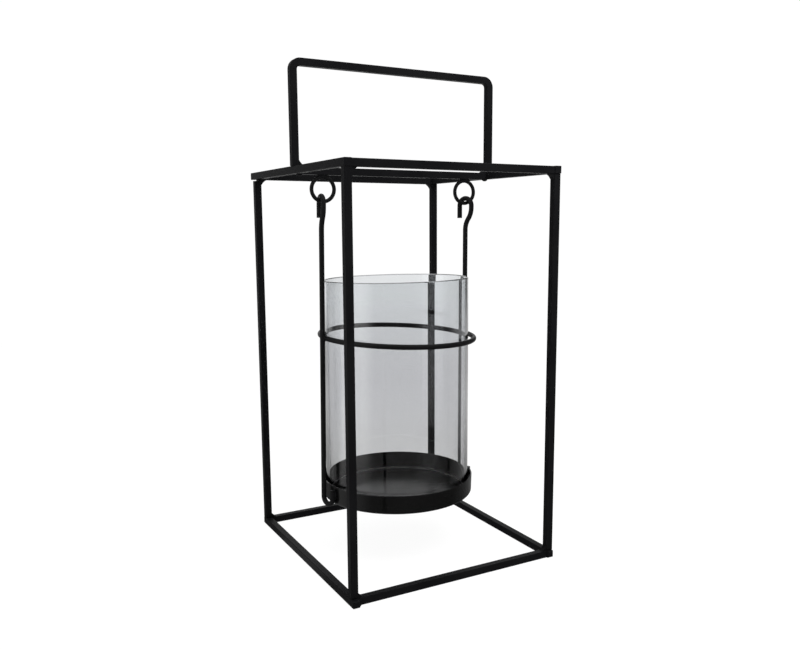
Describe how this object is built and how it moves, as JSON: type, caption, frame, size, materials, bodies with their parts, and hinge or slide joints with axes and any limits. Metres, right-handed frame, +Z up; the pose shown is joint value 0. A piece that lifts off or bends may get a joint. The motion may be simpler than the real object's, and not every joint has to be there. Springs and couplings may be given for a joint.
{
  "type": "candle lantern",
  "caption": "Open box-frame candle lantern of black square bar with a fixed bail handle; a hooked wire hanger with hoop and round tray carries a loose smoke-tinted glass tube.",
  "frame": {"origin": "on the ground plane, in the middle of the footprint of the box frame", "axes": "+Z up; +X along the carrying handle and the cross bar, to the right seen from the front; the front of the lantern faces -Y"},
  "size_m": [0.1777, 0.1972, 0.3848],
  "materials": {
    "bar_paint": "satin black",
    "wire_paint": "satin black",
    "tray_paint": "semi-gloss black",
    "smoke_glass": "clear, grey tint"
  },
  "bodies": {
    "frame": {"post_front_left": "bar_paint", "post_front_right": "bar_paint", "post_back_left": "bar_paint", "post_back_right": "bar_paint", "top_bar_left": "bar_paint", "top_bar_right": "bar_paint", "top_bar_front": "bar_paint", "top_bar_back": "bar_paint", "top_cross_bar": "bar_paint", "bottom_bar_left": "bar_paint", "bottom_bar_right": "bar_paint", "bottom_bar_front": "bar_paint", "bottom_bar_back": "bar_paint", "carry_handle": "bar_paint", "ring_left": "wire_paint", "ring_right": "wire_paint", "corner_welds_top": "bar_paint", "corner_welds_bottom": "bar_paint", "handle_welds": "bar_paint", "cross_bar_welds": "bar_paint", "ring_welds": "bar_paint"},
    "hanger": {"hanger_arm_left": "wire_paint", "hanger_arm_right": "wire_paint", "glass_hoop": "wire_paint", "candle_tray": "tray_paint", "hanger_welds": "wire_paint"},
    "glass": {"glass_cylinder": "smoke_glass"}
  },
  "joints": [
    {"name": "hanger_swing", "type": "hinge", "parent": "frame", "child": "hanger", "pos_m": [0, 0, 0.2818], "axis": [1, 0, 0], "range_deg": [-55, 55]},
    {"name": "glass_lift", "type": "slide", "parent": "hanger", "child": "glass", "axis": [0, 0, 1], "range_m": [0, 0.055]}
  ]
}
